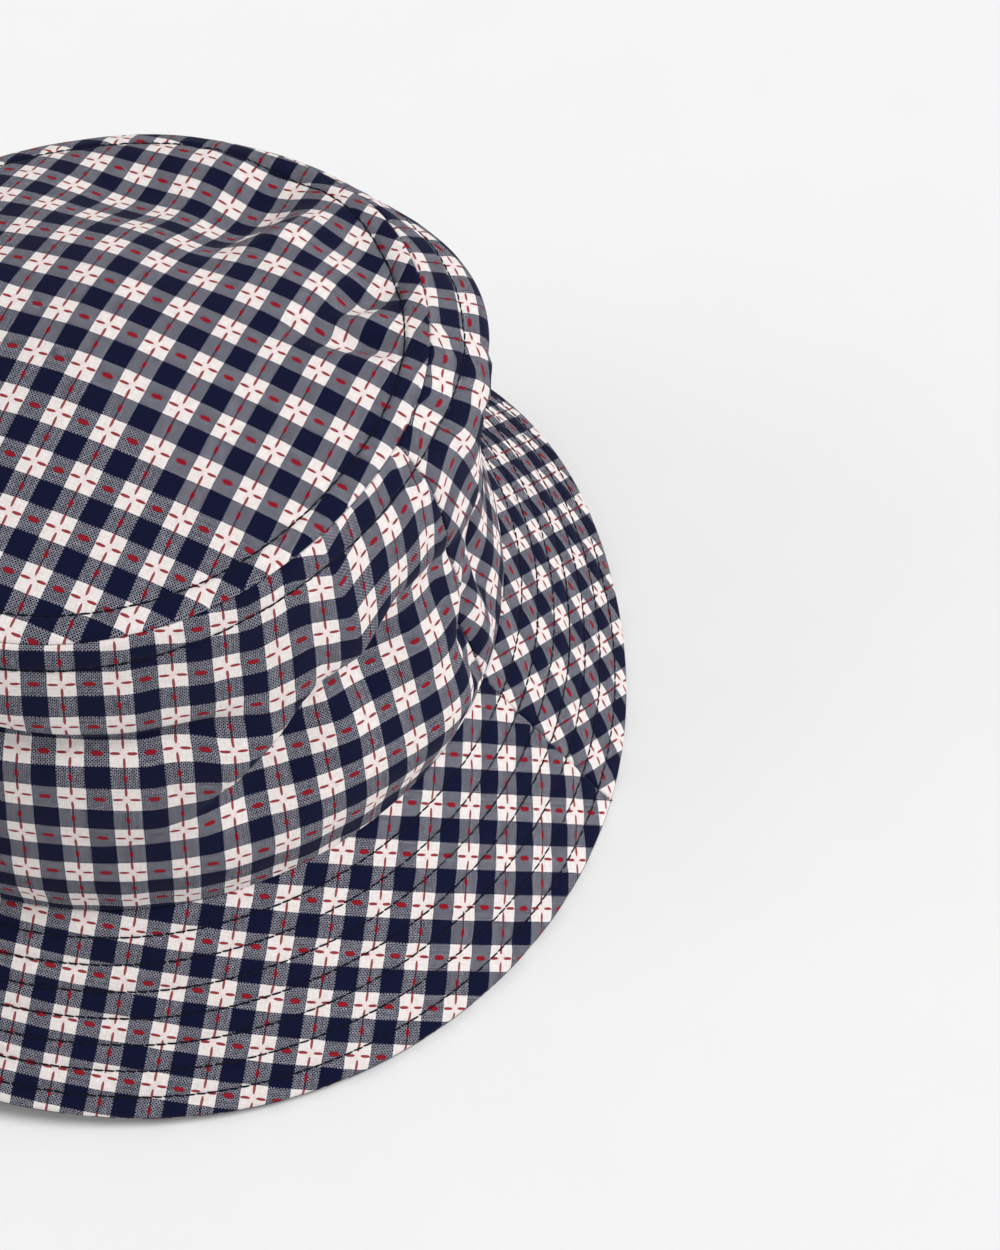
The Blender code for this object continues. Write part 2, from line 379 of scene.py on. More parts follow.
def cone_cloth(girth, slant, cone, phase, spin=0.0):
    """Check coordinates of a panel cut from flat cloth as part of a ring of radius cone."""
    around = girth / cone
    x = (cone - slant) * np.sin(around)
    y = (cone - slant) * np.cos(around) - cone
    x, y = rotated(x, y, spin)
    return np.stack([x / REPEAT_ACROSS + phase[0], y / REPEAT_ALONG + phase[1]], axis=-1)


MEAN_JOIN = math.sqrt((JOIN_HALF[0] ** 2 + JOIN_HALF[1] ** 2) / 2.0)
MEAN_SEAM = math.sqrt((SEAM_HALF[0] ** 2 + SEAM_HALF[1] ** 2) / 2.0)
BRIM_CONE = MEAN_JOIN * BRIM_SLANT / (EDGE_HALF[0] - JOIN_HALF[0])
BAND_FLAT_SLANT = 86.0
BAND_CONE = MEAN_JOIN * BAND_FLAT_SLANT / (MEAN_JOIN - MEAN_SEAM)
BRIM_PHASE = {"front": (-5.165, -1.08), "back": (0.30, 0.15)}
BAND_PHASE = {"front": (-3.204, 4.546), "back": (0.35, 0.20)}
BAND_SPIN = {"front": 0.2, "back": 0.6}
TIP_PHASE = (-0.459, -1.136)
TIP_SPIN = 2.7
SPANS = {"front": FRONT, "back": BACK}
CENTRES = {"front": -0.5 * math.pi, "back": 0.5 * math.pi}


def arc_down(points, axis=1):
    """Length along each column of a grid of points, starting at its first point."""
    steps = np.linalg.norm(np.diff(points, axis=axis), axis=-1)
    start = np.zeros_like(np.take(steps, [0], axis=axis))
    return np.concatenate([start, np.cumsum(steps, axis=axis)], axis=axis)


# ---- meshes ----

def new_mesh(name, vertices, faces, uv, material, sharp):
    """Mesh object from arrays in millimetres; uv holds one pair for each vertex."""
    mesh = bpy.data.meshes.new(name)
    mesh.from_pydata((vertices * MM).tolist(), [], faces)
    layer = mesh.uv_layers.new(name="cloth")
    index = np.zeros(len(mesh.loops), dtype=np.int32)
    mesh.loops.foreach_get("vertex_index", index)
    layer.data.foreach_set("uv", uv[index].astype(np.float32).ravel())
    mesh.update()
    mesh.shade_smooth()
    mesh.set_sharp_from_angle(angle=math.radians(sharp))
    made = bpy.data.objects.new(name, mesh)
    bpy.context.scene.collection.objects.link(made)
    mesh.materials.append(material)
    return made


def grid_faces(rows, columns, closed, flip=False, start=0):
    """Quads of a grid whose points are numbered row by row."""
    last = rows if closed else rows - 1
    r, c = np.meshgrid(np.arange(last), np.arange(columns - 1), indexing="ij")
    here, there = r * columns + c, ((r + 1) % rows) * columns + c
    quads = np.stack([here, there, there + 1, here + 1], axis=-1).reshape(-1, 4) + start
    return quads[:, ::-1] if flip else quads


def sheet_mesh(name, outer, inner, uv, closed, material):
    """Closed sheet of cloth between an outer and an inner grid of points."""
    rows, columns = outer.shape[:2]
    count = rows * columns
    faces = [grid_faces(rows, columns, closed),
             grid_faces(rows, columns, closed, True, count)]
    last = rows if closed else rows - 1
    r = np.arange(last)
    n = (r + 1) % rows
    for column, turned in ((0, False), (columns - 1, True)):
        a, b = r * columns + column, n * columns + column
        rim = np.stack([a, a + count, b + count, b], axis=-1)
        faces.append(rim[:, ::-1] if turned else rim)
    if not closed:
        c = np.arange(columns - 1)
        for row, turned in ((0, True), (rows - 1, False)):
            a, b = row * columns + c, row * columns + c + 1
            rim = np.stack([a, a + count, b + count, b], axis=-1)
            faces.append(rim[:, ::-1] if turned else rim)
    quads = np.concatenate(faces)
    vertices = np.concatenate([outer.reshape(-1, 3), inner.reshape(-1, 3)])
    coordinates = np.concatenate([uv.reshape(-1, 2)] * 2)
    return new_mesh(name, vertices, quads.tolist(), coordinates, material, CLOTH_SHARP)


# Distances from a seam at which cloth that turns into it is followed (mm)
NEAR_SEAM = (0.0, 0.12, 0.35, 0.7, 1.1, 1.7, 2.4)
PAST_SEAM = 3.2


def seam_spacing(length, step):
    """Distances from 0 to length, close together at both ends where the cloth turns in."""
    count = max(2, int(round((length - 2.0 * PAST_SEAM) / step)) + 1)
    middle = np.linspace(PAST_SEAM, length - PAST_SEAM, count)
    start = np.array(NEAR_SEAM)
    return np.concatenate([start, middle, (length - start)[::-1]])


def finer_at(spacing, place):
    """The same distances, closer together round a row of stitches."""
    kept = spacing[np.abs(spacing - place) > 1.5]
    added = place + np.array([-1.2, -0.8, -0.4, 0.0, 0.4, 0.8, 1.2])
    return np.sort(np.concatenate([kept, added]))


def turned_edge(distance, radius=ROLL):
    """Push inward of cloth that turns into a seam, at a distance from the seam."""
    part = np.clip(1.0 - distance / radius, 0.0, 1.0)
    return -radius * (1.0 - np.sqrt(np.maximum(0.0, 1.0 - part * part)))


def panel_angles(span, step):
    """Angles across a half panel, closer together at its side seams."""
    radius = MEAN_JOIN
    length = (span[1] - span[0]) * radius
    return span[0] + seam_spacing(length, step) / radius


def side_distance(angle, span):
    """Distance to the nearer side seam, in millimetres."""
    return np.minimum(angle - span[0], span[1] - angle) * MEAN_JOIN


def bound(obj, nodes, body="root"):
    """The piece rides on its body and stands for its CAD nodes, which are hidden."""
    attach(obj, body)
    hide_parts(*nodes)
    return obj


# ---- materials ----

class Shader:
    """Short ways to add nodes to one material."""

    def __init__(self, name, roughness, sheen=0.0, specular=0.3):
        self.material = bpy.data.materials.new(name)
        self.material.use_nodes = True
        self.tree = self.material.node_tree
        self.surface = self.tree.nodes["Principled BSDF"]
        self.surface.inputs["Roughness"].default_value = roughness
        self.surface.inputs["Sheen Weight"].default_value = sheen
        self.surface.inputs["Sheen Roughness"].default_value = 0.5
        self.surface.inputs["Specular IOR Level"].default_value = specular

    def node(self, kind, **settings):
        made = self.tree.nodes.new(kind)
        for key, value in settings.items():
            setattr(made, key, value)
        return made

    def put(self, socket, value):
        if isinstance(value, bpy.types.NodeSocket):
            self.tree.links.new(value, socket)
        elif isinstance(value, tuple) and len(value) == 3 and socket.type == "RGBA":
            socket.default_value = (*value, 1.0)
        else:
            socket.default_value = value

    def math(self, operation, *values):
        made = self.node("ShaderNodeMath", operation=operation)
        for socket, value in zip(made.inputs, values):
            self.put(socket, value)
        return made.outputs[0]

    def times(self, first, second):
        return self.math("MULTIPLY", first, second)

    def plus(self, first, second):
        return self.math("ADD", first, second)

    def minus(self, first, second):
        return self.math("SUBTRACT", first, second)

    def over(self, first, second):
        return self.math("DIVIDE", first, second)

    def times_plus(self, value, factor, more):
        return self.math("MULTIPLY_ADD", value, factor, more)

    def larger(self, first, second):
        return self.math("MAXIMUM", first, second)

    def fold(self, value, peak):
        """Rises from 0 to peak and falls back to 0, over and over."""
        return self.math("PINGPONG", value, peak)

    def step(self, value, low, high):
        """1 below low and 0 above high, with a soft edge; the other way round if low is above high."""
        made = self.node("ShaderNodeMapRange", interpolation_type="SMOOTHSTEP")
        first, second, out = (low, high, (1.0, 0.0)) if low < high else (high, low, (0.0, 1.0))
        for socket, number in zip(made.inputs[:5], (value, first, second, *out)):
            self.put(socket, number)
        return made.outputs[0]

    def mix(self, factor, first, second, blend="MIX"):
        made = self.node("ShaderNodeMix", data_type="RGBA", blend_type=blend)
        self.put(made.inputs[0], factor)
        self.put(made.inputs[6], first)
        self.put(made.inputs[7], second)
        return made.outputs[2]

    def cloth_axes(self):
        """The two coordinates of the flat cloth."""
        made = self.node("ShaderNodeUVMap", uv_map="cloth")
        split = self.node("ShaderNodeSeparateXYZ")
        self.tree.links.new(made.outputs[0], split.inputs[0])
        return split.outputs[0], split.outputs[1]

    def noise(self, scale, detail=2.0, roughness=0.5, vector=None):
        """Noise over the object's own space in metres, or over another vector."""
        made = self.node("ShaderNodeTexNoise")
        if vector is None:
            vector = self.node("ShaderNodeTexCoord").outputs["Object"]
        self.tree.links.new(vector, made.inputs["Vector"])
        made.inputs["Scale"].default_value = scale
        made.inputs["Detail"].default_value = detail
        made.inputs["Roughness"].default_value = roughness
        return made.outputs[0]

    def finish(self, colour, height, distance, strength):
        self.put(self.surface.inputs["Base Color"], colour)
        bump = self.node("ShaderNodeBump")
        bump.inputs["Distance"].default_value = distance
        bump.inputs["Strength"].default_value = strength
        self.put(bump.inputs["Height"], height)
        self.put(self.surface.inputs["Normal"], bump.outputs[0])
        return self.material


CREAM = (0.85, 0.787, 0.765)
NAVY = (0.0050, 0.0066, 0.030)
RED = (0.30, 0.005, 0.013)
DARK_RED = (0.14, 0.003, 0.008)
LINE_NAVY = (0.004, 0.005, 0.015)
STRIPE_HALF = 0.262


def threads(shader, across, along, count):
    """Plain weave: which thread is on top, and how near the middle of its crossing a point is."""
    u = shader.times(across, count)
    v = shader.times(along, count)
    crossing = shader.plus(shader.math("FLOOR", u), shader.math("FLOOR", v))
    weft_up = shader.fold(crossing, 1.0)
    from_middle_u = shader.fold(shader.plus(u, 0.5), 0.5)
    from_middle_v = shader.fold(shader.plus(v, 0.5), 0.5)
    out = shader.larger(shader.minus(0.5, from_middle_u),
                      shader.minus(0.5, from_middle_v))
    return weft_up, out


def thread_tone(shader, coordinate, count, dull, full):
    """Each thread's own brightness, as spun yarn varies."""
    chance = shader.node("ShaderNodeTexWhiteNoise", noise_dimensions="1D")
    shader.put(chance.inputs["W"], shader.math("FLOOR", shader.times(coordinate, count)))
    return shader.times_plus(chance.outputs["Value"], full - dull, dull)


def slub_yarn(shader, across, along, across_count, along_count):
    """Uneven yarn: streaks of light and dark along the threads, about 1."""
    vector = shader.node("ShaderNodeCombineXYZ")
    shader.put(vector.inputs[0], shader.times(across, across_count))
    shader.put(vector.inputs[1], shader.times(along, along_count))
    streak = shader.noise(1.0, 3.0, 0.7, vector.outputs[0])
    shade = shader.node("ShaderNodeMapRange")
    for socket, value in zip(shade.inputs[:5], (streak, 0.32, 0.68, 0.68, 1.34)):
        shader.put(socket, value)
    return shade.outputs[0]


def dash(shader, run, centre, half_length, off, half_width):
    """Lens-shaped float of red yarn: 1 inside, 0 outside."""
    from_centre = shader.over(shader.minus(run, centre), half_length)
    along = shader.math("ABSOLUTE", from_centre)
    wide = shader.over(off, half_width)
    reach = shader.plus(shader.math("POWER", along, 2.6), shader.times(wide, wide))
    return shader.step(reach, 0.80, 1.10)


def check_cotton(name, crumple=0.5):
    """Navy and cream yarn-dyed check with small red dashes woven in; painted shade between thread crowns.
    """
    shader = Shader(name, 0.9, sheen=0.03, specular=0.07)
    across, along = shader.cloth_axes()
    combine = shader.node("ShaderNodeCombineXYZ")
    shader.put(combine.inputs[0], across)
    shader.put(combine.inputs[1], along)
    drift = shader.noise(1.7, 3.0, 0.6, combine.outputs[0])
    shift = shader.times(shader.minus(drift, 0.5), 0.045)
    across = shader.plus(across, shift)
    along = shader.plus(along, shift)
    off_warp = shader.fold(across, 0.5)
    off_weft = shader.fold(along, 0.5)
    white_warp = shader.step(off_warp, STRIPE_HALF - 0.004, STRIPE_HALF + 0.004)
    white_weft = shader.step(off_weft, STRIPE_HALF - 0.004, STRIPE_HALF + 0.004)
    warp = shader.mix(white_warp, NAVY, CREAM)
    weft = shader.mix(white_weft, NAVY, CREAM)
    weft_up, out = threads(shader, across, along, THREADS_PER_REPEAT)
    top = shader.mix(weft_up, warp, weft)
    # Painted shade in the gaps between the thread crowns: the darker of the two yarns, dimmed further
    below = shader.mix(1.0, warp, weft, "DARKEN")
    below = shader.mix(1.0, below, (0.86, 0.86, 0.86), "MULTIPLY")
    mixed = shader.math("ABSOLUTE", shader.minus(white_warp, white_weft))
    tone = shader.mix(weft_up, thread_tone(shader, across, THREADS_PER_REPEAT, 0.75, 1.2),
                      thread_tone(shader, along, THREADS_PER_REPEAT, 0.75, 1.2))
    top = shader.mix(shader.times(mixed, 0.9), top, shader.mix(1.0, top, tone, "MULTIPLY"))
    top = shader.mix(mixed, top, shader.mix(1.0, top, (0.66, 0.71, 0.81), "MULTIPLY"))
    crown = shader.step(out, 0.24, 0.44)
    # The thread crowns show the top yarn; the gaps between them get the painted shade
    cloth = shader.mix(crown, below, top)
    warp_slub = slub_yarn(shader, across, along, 24.0, 5.0)
    weft_slub = slub_yarn(shader, across, along, 5.0, 24.0)
    streaks = shader.times(warp_slub, weft_slub)
    strength = shader.times_plus(mixed, 0.75, 0.25)
    cloth = shader.mix(strength, cloth, shader.mix(1.0, cloth, streaks, "MULTIPLY"))
    both_white = shader.times(white_warp, white_weft)
    near = shader.times(shader.step(off_warp, 0.05, 0.12), shader.step(off_weft, 0.05, 0.12))
    blush = shader.times(shader.times(near, both_white), 0.10)
    cloth = shader.mix(blush, cloth, (0.75, 0.25, 0.30))
    line = shader.times(shader.step(off_warp, 0.008, 0.016),
                       shader.minus(1.0, white_weft))
    cloth = shader.mix(shader.times(line, 0.85), cloth, LINE_NAVY)
    weft_dash = dash(shader, off_warp, 0.160, 0.100, off_weft, 0.030)
    weft_lens = dash(shader, off_warp, 0.5, 0.118, off_weft, 0.050)
    warp_dash = dash(shader, off_weft, 0.185, 0.110, off_warp, 0.028)
    warp_lens = dash(shader, off_weft, 0.5, 0.090, off_warp, 0.038)
    bright = shader.larger(weft_dash, weft_lens)
    dark = shader.larger(warp_dash, warp_lens)
    strands = shader.fold(shader.times(shader.plus(along, across), 80.0), 0.5)
    red = shader.mix(shader.times(strands, 0.9), RED, DARK_RED)
    cloth = shader.mix(shader.times(bright, 0.95), cloth, red)
    deep = shader.mix(0.35, RED, DARK_RED)
    cloth = shader.mix(shader.times(dark, 0.92), cloth, deep)
    weave_height = shader.times(crown, 0.35)
    red_height = shader.times(shader.larger(bright, dark), 0.8)
    fine = shader.plus(weave_height, red_height)
    crumpled = shader.times(shader.noise(140.0, 3.0, 0.55), 6.0 * crumple)
    height = shader.plus(fine, crumpled)
    return shader.finish(cloth, height, 0.00012, 0.55)


def plain_cloth(name, colour, roughness, count, sheen=0.1, crumple=0.8):
    """Plain woven cloth of one yarn colour, its weave count given for each millimetre; painted light on the
    thread crowns, painted shade between them.
    """
    shader = Shader(name, roughness, sheen=sheen, specular=0.25)
    across, along = shader.cloth_axes()
    weft_up, out = threads(shader, across, along, count)
    crown = shader.step(out, 0.22, 0.5)
    # Painted light and shade: lit copy of the colour on the thread crowns, shaded copy between them;
    # weft-up crowns are painted lighter than warp-up crowns
    light = tuple(min(1.0, c * 1.25) for c in colour)
    dark = tuple(c * 0.55 for c in colour)
    tone = shader.mix(shader.times(crown, shader.times_plus(weft_up, 0.35, 0.65)),
                      dark, light)
    mottled = shader.mix(shader.step(shader.noise(900.0, 3.0, 0.6), 0.35, 0.65), tone, colour)
    height = shader.plus(shader.times(crown, 0.4),
                         shader.times(shader.noise(160.0, 3.0, 0.55), 5.0 * crumple))
    return shader.finish(mottled, height, 0.00012, 0.6)


def twill_cloth(name, colour, roughness, pitch):
    """Twill with diagonal ribs, painted lit on their tops and in shade in their grooves; the cloth
    coordinates are in millimetres.
    """
    shader = Shader(name, roughness, sheen=0.15, specular=0.3)
    across, along = shader.cloth_axes()
    diagonal = shader.over(shader.plus(across, along), pitch)
    rib = shader.times(shader.fold(diagonal, 0.5), 2.0)
    thread = shader.over(across, pitch * 0.5)
    thread = shader.times(shader.fold(thread, 0.5), 2.0)
    # Painted light and shade on the ribs: lit copy on the rib tops, shaded copy in the grooves; in noise
    # patches the rib tops are painted lighter
    light = tuple(min(1.0, c * 1.4) for c in colour)
    dark = tuple(c * 0.45 for c in colour)
    rib_highlight_patches = shader.step(shader.noise(220.0, 4.0, 0.6), 0.62, 0.35)
    lit = shader.times(rib, shader.times_plus(rib_highlight_patches, 0.4, 0.6))
    tone = shader.mix(lit, dark, light)
    height = shader.plus(shader.times(rib, 0.7), shader.times(thread, 0.25))
    height = shader.plus(height, shader.times(shader.noise(150.0, 2.0), 3.0))
    return shader.finish(tone, height, 0.00014, 0.6)


def satin_label(name, colour):
    """Woven satin ribbon: long fine floats along its length, painted in shade along their sides."""
    shader = Shader(name, 0.42, sheen=0.1, specular=0.45)
    across, along = shader.cloth_axes()
    ends = shader.fold(shader.times(across, 6.0), 0.5)
    slanted = shader.times_plus(along, 2.2, shader.times(across, 3.1))
    picks = shader.fold(slanted, 0.5)
    # Painted shade along the sides of each float, the middle of the float near the full colour
    dark = tuple(c * 0.82 for c in colour)
    tone = shader.mix(shader.times(ends, 1.6), dark, colour)
    height = shader.plus(ends, shader.times(picks, 0.8))
    return shader.finish(tone, height, 0.00008, 0.5)


def felted_sheet(name, colour):
    """Pressed fibres of interfacing or interlining."""
    shader = Shader(name, 0.92, specular=0.15)
    fibres = shader.noise(2600.0, 4.0, 0.75)
    dark = tuple(c * 0.78 for c in colour)
    tone = shader.mix(fibres, dark, colour)
    return shader.finish(tone, fibres, 0.0002, 0.6)


def sewing_thread(name, colour):
    """Two-ply thread: the plies turn round it, each painted with a highlight along its crest."""
    shader = Shader(name, 0.7, specular=0.15)
    along, around = shader.cloth_axes()
    twist = shader.fold(shader.times_plus(along, 1.6, around), 0.5)
    # Painted highlight: a lit copy of the thread colour along the crest of each ply
    light = tuple(min(1.0, c * 1.6) for c in colour)
    tone = shader.mix(shader.times(twist, 2.0), colour, light)
    return shader.finish(tone, twist, 0.00012, 0.8)


CHECK = check_cotton("check_cotton")
UNDER_CHECK = check_cotton("under_brim_cotton", crumple=0.7)
LINING = plain_cloth("navy_lining", (0.020, 0.025, 0.075), 0.82, 3.0)
TWILL = twill_cloth("navy_twill", (0.022, 0.026, 0.070), 0.74, 0.7)
SATIN = satin_label("label_satin", (0.82, 0.81, 0.78))
INTERFACING = felted_sheet("fusible_interfacing", (0.84, 0.84, 0.82))
INTERLINING = felted_sheet("brim_interlining", (0.78, 0.76, 0.70))
THREAD = sewing_thread("navy_thread", (0.0025, 0.003, 0.008))


# ---- layers that share seams ----

def unit(vectors):
    return vectors / np.maximum(np.linalg.norm(vectors, axis=-1, keepdims=True), 1e-9)


def surface_normals(surface, angle, share):
    """Outward normals of a surface function, from small steps along it."""
    turn, rise = 0.004, 0.004
    along = surface(angle + turn, share) - surface(angle - turn, share)
    up = np.minimum(share + rise, 1.0)
    down = np.maximum(share - rise, 0.0)
    across = surface(angle, up) - surface(angle, down)
    return unit(np.cross(along, across))


def corner_normals(angle):
    """Normals shared by the two pieces that meet at the join and at the tip seam."""
    ones = np.ones_like(angle)
    band_top = surface_normals(band_surface, angle, ones)
    band_low = surface_normals(band_surface, angle, 0.0 * ones)
    tip_rim = -surface_normals(tip_surface, angle, ones)
    brim_top = -surface_normals(brim_surface, angle, 0.0 * ones)
    return unit(band_low + brim_top), unit(band_top + tip_rim)


def band_frame(angles, heights):
    """Points and layer normals of the crown band on a grid."""
    angle, height = np.meshgrid(angles, heights, indexing="ij")
    share = height / BAND_SLANT
    points = band_surface(angle, share)
    normal = surface_normals(band_surface, angle, share)
    low, top = corner_normals(angle)
    normal = unit(mix(top, normal, smooth(0.0, 5.0, BAND_SLANT - height)[..., None]))
    normal = unit(mix(low, normal, smooth(0.0, 5.0, height)[..., None]))
    return angle, height, points, normal


def brim_frame(angles, slants):
    """Points and layer normals of the brim; slants are distances down from the join."""
    angle, slant = np.meshgrid(angles, slants, indexing="ij")
    share = slant / BRIM_SLANT
    points = brim_surface(angle, share)
    normal = -surface_normals(brim_surface, angle, share)
    low, _ = corner_normals(angle)
    normal = unit(mix(low, normal, smooth(0.0, 5.0, slant)[..., None]))
    return angle, slant, points, normal


def tip_frame(angles, insets):
    """Points and layer normals of the tip; insets are distances in from the seam."""
    angle, inset = np.meshgrid(angles, insets, indexing="ij")
    share = np.clip(1.0 - inset / MEAN_SEAM, 0.0, 1.0)
    points = tip_surface(angle, share)
    probe = np.maximum(share, 0.02)
    normal = -surface_normals(tip_surface, angle, probe)
    _, top = corner_normals(angle)
    normal = unit(mix(top, normal, smooth(0.0, 5.0, inset)[..., None]))
    return angle, inset, points, normal


def offset(points, normal, depth):
    return points - normal * (depth * np.ones(points.shape[:-1]))[..., None]


def layer_sheet(name, points, normal, depths, uv, material, closed=False):
    """Closed sheet between two depths inward of a surface."""
    outer, inner = (offset(points, normal, depth) for depth in depths)
    return sheet_mesh(name, outer, inner, uv, closed, material)


# ---- crown ----

STEP = 1.15
COARSE = 3.0


def band_cloth(points, angle, side):
    """Check coordinates of a band panel, measured along the folded cloth."""
    girth = girth_from(CENTRES[side])(angle)
    return cone_cloth(girth, arc_down(points), BAND_CONE, BAND_PHASE[side], BAND_SPIN[side])


def make_band(side):
    """Outer band panel: turned into its seams, topstitched below the tip seam."""
    span = SPANS[side]
    heights = finer_at(seam_spacing(BAND_SLANT, STEP), BAND_SLANT - BAND_ROW_DROP)
    angle, height, points, normal = band_frame(panel_angles(span, STEP), heights)
    from_top = BAND_SLANT - height
    puff = turned_edge(from_top, 0.9) + turned_edge(height) + turned_edge(side_distance(angle, span), 0.8)
    puff = puff + crown_puff(from_top, angle, 71, BAND_ROW_DROP)
    puff = puff + 0.5 * wander(angle, 75, (19, 29, 41)) * hill(height - 5.0, 6.0) * smooth(0.0, 3.0, height)
    uv = band_cloth(points, angle, side)
    made = layer_sheet(f"band_cloth_{side}", points, normal, (-puff, CLOTH - puff), uv, CHECK)
    return bound(made, [f"crown_band_{side}"])


def layer_uv(angle, slant):
    """Millimetre coordinates for plain cloth."""
    return np.stack([angle * MEAN_JOIN, slant], axis=-1)


def make_band_layer(name, side, depths, material, node, margin, slack=0.0):
    """Inner layer of a band panel, following its folds."""
    span = SPANS[side]
    angles = np.linspace(span[0] + margin / MEAN_JOIN, span[1] - margin / MEAN_JOIN, 110)
    heights = np.linspace(margin, BAND_SLANT - margin, 40)
    angle, height, points, normal = band_frame(angles, heights)
    loose = slack * smooth(34.0, 46.0, height) * (1.0 + wander(angle + 0.02 * height, 90, (9, 14, 22)))
    loosened = (depths[0] + loose, depths[1] + loose)
    made = layer_sheet(name, points, normal, loosened, layer_uv(angle, height), material)
    return bound(made, [node])


def tip_sheet(name, insets, depths, uv_of, material, puff_of=None):
    """Closed oval sheet with a fan of small faces in the middle."""
    count = 380
    angles = np.linspace(0.0, 2.0 * math.pi, count, endpoint=False)
    angle, inset, points, normal = tip_frame(angles, insets)
    puff = np.zeros_like(angle) if puff_of is None else puff_of(angle, inset)
    outer = offset(points, normal, depths[0] - puff)
    inner = offset(points, normal, depths[1] - puff)
    columns = len(insets)
    middle_points = [grid[:, -1].mean(axis=0) for grid in (outer, inner)]
    vertices = np.concatenate([outer.reshape(-1, 3), inner.reshape(-1, 3), middle_points])
    total = count * columns
    r = np.arange(count)
    n = (r + 1) % count
    quads = np.concatenate([
        grid_faces(count, columns, True, True),
        grid_faces(count, columns, True, False, total),
        np.stack([r * columns, n * columns, n * columns + total, r * columns + total], axis=-1),
    ]).tolist()
    last = columns - 1
    quads += np.stack([n * columns + last, r * columns + last, 0 * r + 2 * total], axis=-1).tolist()
    quads += np.stack([r * columns + last + total, n * columns + last + total,
                       0 * r + 2 * total + 1], axis=-1).tolist()
    uv = uv_of(vertices)
    return new_mesh(name, vertices, quads, uv, material, CLOTH_SHARP)


def tip_cloth(vertices):
    """Check coordinates of the tip, cut flat."""
    flat_x = vertices[:, 0] + TIP_TAKEN_UP[0] * smooth(25.0, 75.0, vertices[:, 0])
    flat_y = vertices[:, 1] + TIP_TAKEN_UP[1] * smooth(20.0, 75.0, vertices[:, 1])
    x, y = rotated(flat_x, flat_y, TIP_SPIN)
    return np.stack([x / REPEAT_ACROSS + TIP_PHASE[0], -y / REPEAT_ALONG + TIP_PHASE[1]], axis=-1)


def make_tip():
    """Outer tip, turned into its seam and topstitched inside it."""
    middle = np.arange(PAST_SEAM, MEAN_SEAM - 1.0, STEP)
    insets = np.concatenate([NEAR_SEAM, middle, [MEAN_SEAM - 0.8]])
    insets = finer_at(insets, TIP_ROW_INSET)

    def puff(angle, inset):
        return turned_edge(inset, 0.9) + crown_puff(inset, angle, 73, TIP_ROW_INSET)

    made = tip_sheet("tip_cloth", insets, (0.0, CLOTH), tip_cloth, CHECK, puff)
    return bound(made, ["crown_tip"])


def make_tip_layer(name, depths, material, node, margin):
    insets = np.concatenate([np.arange(margin, MEAN_SEAM - 1.5, COARSE), [MEAN_SEAM - 0.8]])
    made = tip_sheet(name, insets, depths, lambda v: v[:, :2], material)
    return bound(made, [node])


def make_crown():
    for side in SPANS:
        make_band(side)
        make_band_layer(f"band_interfacing_{side}", side, INTERFACING_DEPTH, INTERFACING,
                        f"crown_band_interfacing_{side}", 3.0)
        make_band_layer(f"band_lining_{side}", side, LINING_DEPTH, LINING,
                        f"lining_band_{side}", 0.15, slack=0.5)
    make_tip()
    make_tip_layer("tip_interfacing", INTERFACING_DEPTH, INTERFACING,
                   "crown_tip_interfacing", 3.0)
    make_tip_layer("tip_lining", LINING_DEPTH, LINING, "lining_tip", 0.15)


# ---- brim ----

def brim_cloth(points, angle, side, phase_shift=0.0):
    """Check coordinates of a brim panel, measured down from the join."""
    girth = girth_from(CENTRES[side])(angle)
    phase = tuple(p + phase_shift for p in BRIM_PHASE[side])
    return cone_cloth(girth, -arc_down(points), BRIM_CONE, phase)


def make_brim_upper(side):
    span = SPANS[side]
    slants = seam_spacing(BRIM_SLANT, 1.1)
    angle, slant, points, normal = brim_frame(panel_angles(span, STEP), slants)
    roll = turned_edge(BRIM_SLANT - slant, 1.25)
    puff = roll + turned_edge(slant, 0.8) + turned_edge(side_distance(angle, span), 0.7)
    puff = puff + brim_puff(angle, slant / BRIM_SLANT)
    uv = brim_cloth(points, angle, side)
    made = layer_sheet(f"brim_upper_cloth_{side}", points, normal, (-puff, CLOTH - puff), uv, CHECK)
    return bound(made, [f"brim_upper_{side}"])


def make_brim_under(side):
    span = SPANS[side]
    slants = seam_spacing(BRIM_SLANT, 1.1)
    angle, slant, points, normal = brim_frame(panel_angles(span, STEP), slants)
    roll = turned_edge(BRIM_SLANT - slant, 1.25)
    puff = roll + turned_edge(side_distance(angle, span), 0.7)
    puff = puff + 0.8 * brim_puff(angle + 0.03, slant / BRIM_SLANT)
    depths = (UNDER_DEPTH[0] + puff, UNDER_DEPTH[1] + puff)
    uv = brim_cloth(points, angle, side, 0.37)
    made = layer_sheet(f"brim_under_cloth_{side}", points, normal, depths, uv, UNDER_CHECK)
    return bound(made, [f"brim_under_{side}"])


def make_brim_core(side):
    """Stiff interlining between the two brim cloths, cut short of the edge seam.

    Its faces dip into the brim cloths, which hide it.
    """
    span = SPANS[side]
    angles = np.linspace(span[0] + 0.02, span[1] - 0.02, 140)
    slants = np.linspace(2.0, BRIM_SLANT - 3.0, 60)
    angle, slant, points, normal = brim_frame(angles, slants)
    puff = 0.5 * brim_puff(angle, slant / BRIM_SLANT)
    depths = (INTERLINING_DEPTH[0] - 0.5 * puff, INTERLINING_DEPTH[1] + 0.2 * puff)
    uv = layer_uv(angle, slant)
    made = layer_sheet(f"brim_core_{side}", points, normal, depths, uv, INTERLINING)
    return bound(made, [f"brim_interlining_{side}"])


def make_brim():
    for side in SPANS:
        make_brim_upper(side)
        make_brim_under(side)
        make_brim_core(side)


# ---- sweatband and labels ----

